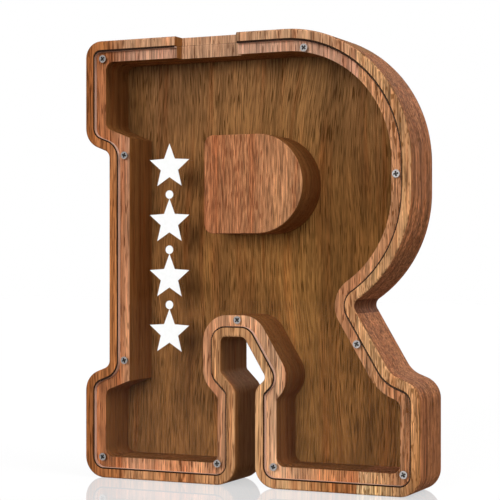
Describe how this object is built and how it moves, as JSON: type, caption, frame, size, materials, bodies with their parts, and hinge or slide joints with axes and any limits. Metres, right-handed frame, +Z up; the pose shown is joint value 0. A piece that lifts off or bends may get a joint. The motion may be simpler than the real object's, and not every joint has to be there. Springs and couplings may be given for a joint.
{
  "type": "money box",
  "caption": "Wooden money box shaped as a slab-serif capital letter, with a clear screwed-on front, a coin slot in its top edge and a solid block for the letter's counter.",
  "frame": {"origin": "middle of the base, between the feet, on the surface the box stands on", "axes": "+Z up, +X to the letter's right, the clear front faces -Y"},
  "size_m": [0.17, 0.03, 0.21],
  "materials": {
    "frame_wood": "satin oiled",
    "pale_wood": "satin oiled",
    "panel_wood": "satin oiled",
    "block_wood": "satin oiled",
    "clear_acrylic": "polished clear",
    "white_vinyl": "matt",
    "screw_steel": "bright"
  },
  "bodies": {
    "case": {"frame_main_stave": "frame_wood", "frame_bowl_stave": "pale_wood", "frame_leg_stave": "pale_wood", "frame_waist": "frame_wood", "back_panel": "panel_wood", "counter_block": "block_wood"},
    "window": {"front_window": "clear_acrylic", "window_decal": "white_vinyl"},
    "screw_01": {"screw_01": "screw_steel"},
    "screw_02": {"screw_02": "screw_steel"},
    "screw_03": {"screw_03": "screw_steel"},
    "screw_04": {"screw_04": "screw_steel"},
    "screw_05": {"screw_05": "screw_steel"},
    "screw_06": {"screw_06": "screw_steel"},
    "screw_07": {"screw_07": "screw_steel"},
    "screw_08": {"screw_08": "screw_steel"},
    "screw_09": {"screw_09": "screw_steel"},
    "screw_10": {"screw_10": "screw_steel"},
    "screw_11": {"screw_11": "screw_steel"}
  },
  "joints": [
    {"name": "window_slide", "type": "slide", "parent": "case", "child": "window", "axis": [0, -1, 0], "range_m": [0, 0.04]},
    {"name": "screw_01_slide", "type": "slide", "parent": "window", "child": "screw_01", "axis": [0, -1, 0], "range_m": [0, 0.014]},
    {"name": "screw_02_slide", "type": "slide", "parent": "window", "child": "screw_02", "axis": [0, -1, 0], "range_m": [0, 0.014]},
    {"name": "screw_03_slide", "type": "slide", "parent": "window", "child": "screw_03", "axis": [0, -1, 0], "range_m": [0, 0.014]},
    {"name": "screw_04_slide", "type": "slide", "parent": "window", "child": "screw_04", "axis": [0, -1, 0], "range_m": [0, 0.014]},
    {"name": "screw_05_slide", "type": "slide", "parent": "window", "child": "screw_05", "axis": [0, -1, 0], "range_m": [0, 0.014]},
    {"name": "screw_06_slide", "type": "slide", "parent": "window", "child": "screw_06", "axis": [0, -1, 0], "range_m": [0, 0.014]},
    {"name": "screw_07_slide", "type": "slide", "parent": "window", "child": "screw_07", "axis": [0, -1, 0], "range_m": [0, 0.014]},
    {"name": "screw_08_slide", "type": "slide", "parent": "window", "child": "screw_08", "axis": [0, -1, 0], "range_m": [0, 0.014]},
    {"name": "screw_09_slide", "type": "slide", "parent": "window", "child": "screw_09", "axis": [0, -1, 0], "range_m": [0, 0.014]},
    {"name": "screw_10_slide", "type": "slide", "parent": "window", "child": "screw_10", "axis": [0, -1, 0], "range_m": [0, 0.014]},
    {"name": "screw_11_slide", "type": "slide", "parent": "window", "child": "screw_11", "axis": [0, -1, 0], "range_m": [0, 0.014]}
  ]
}
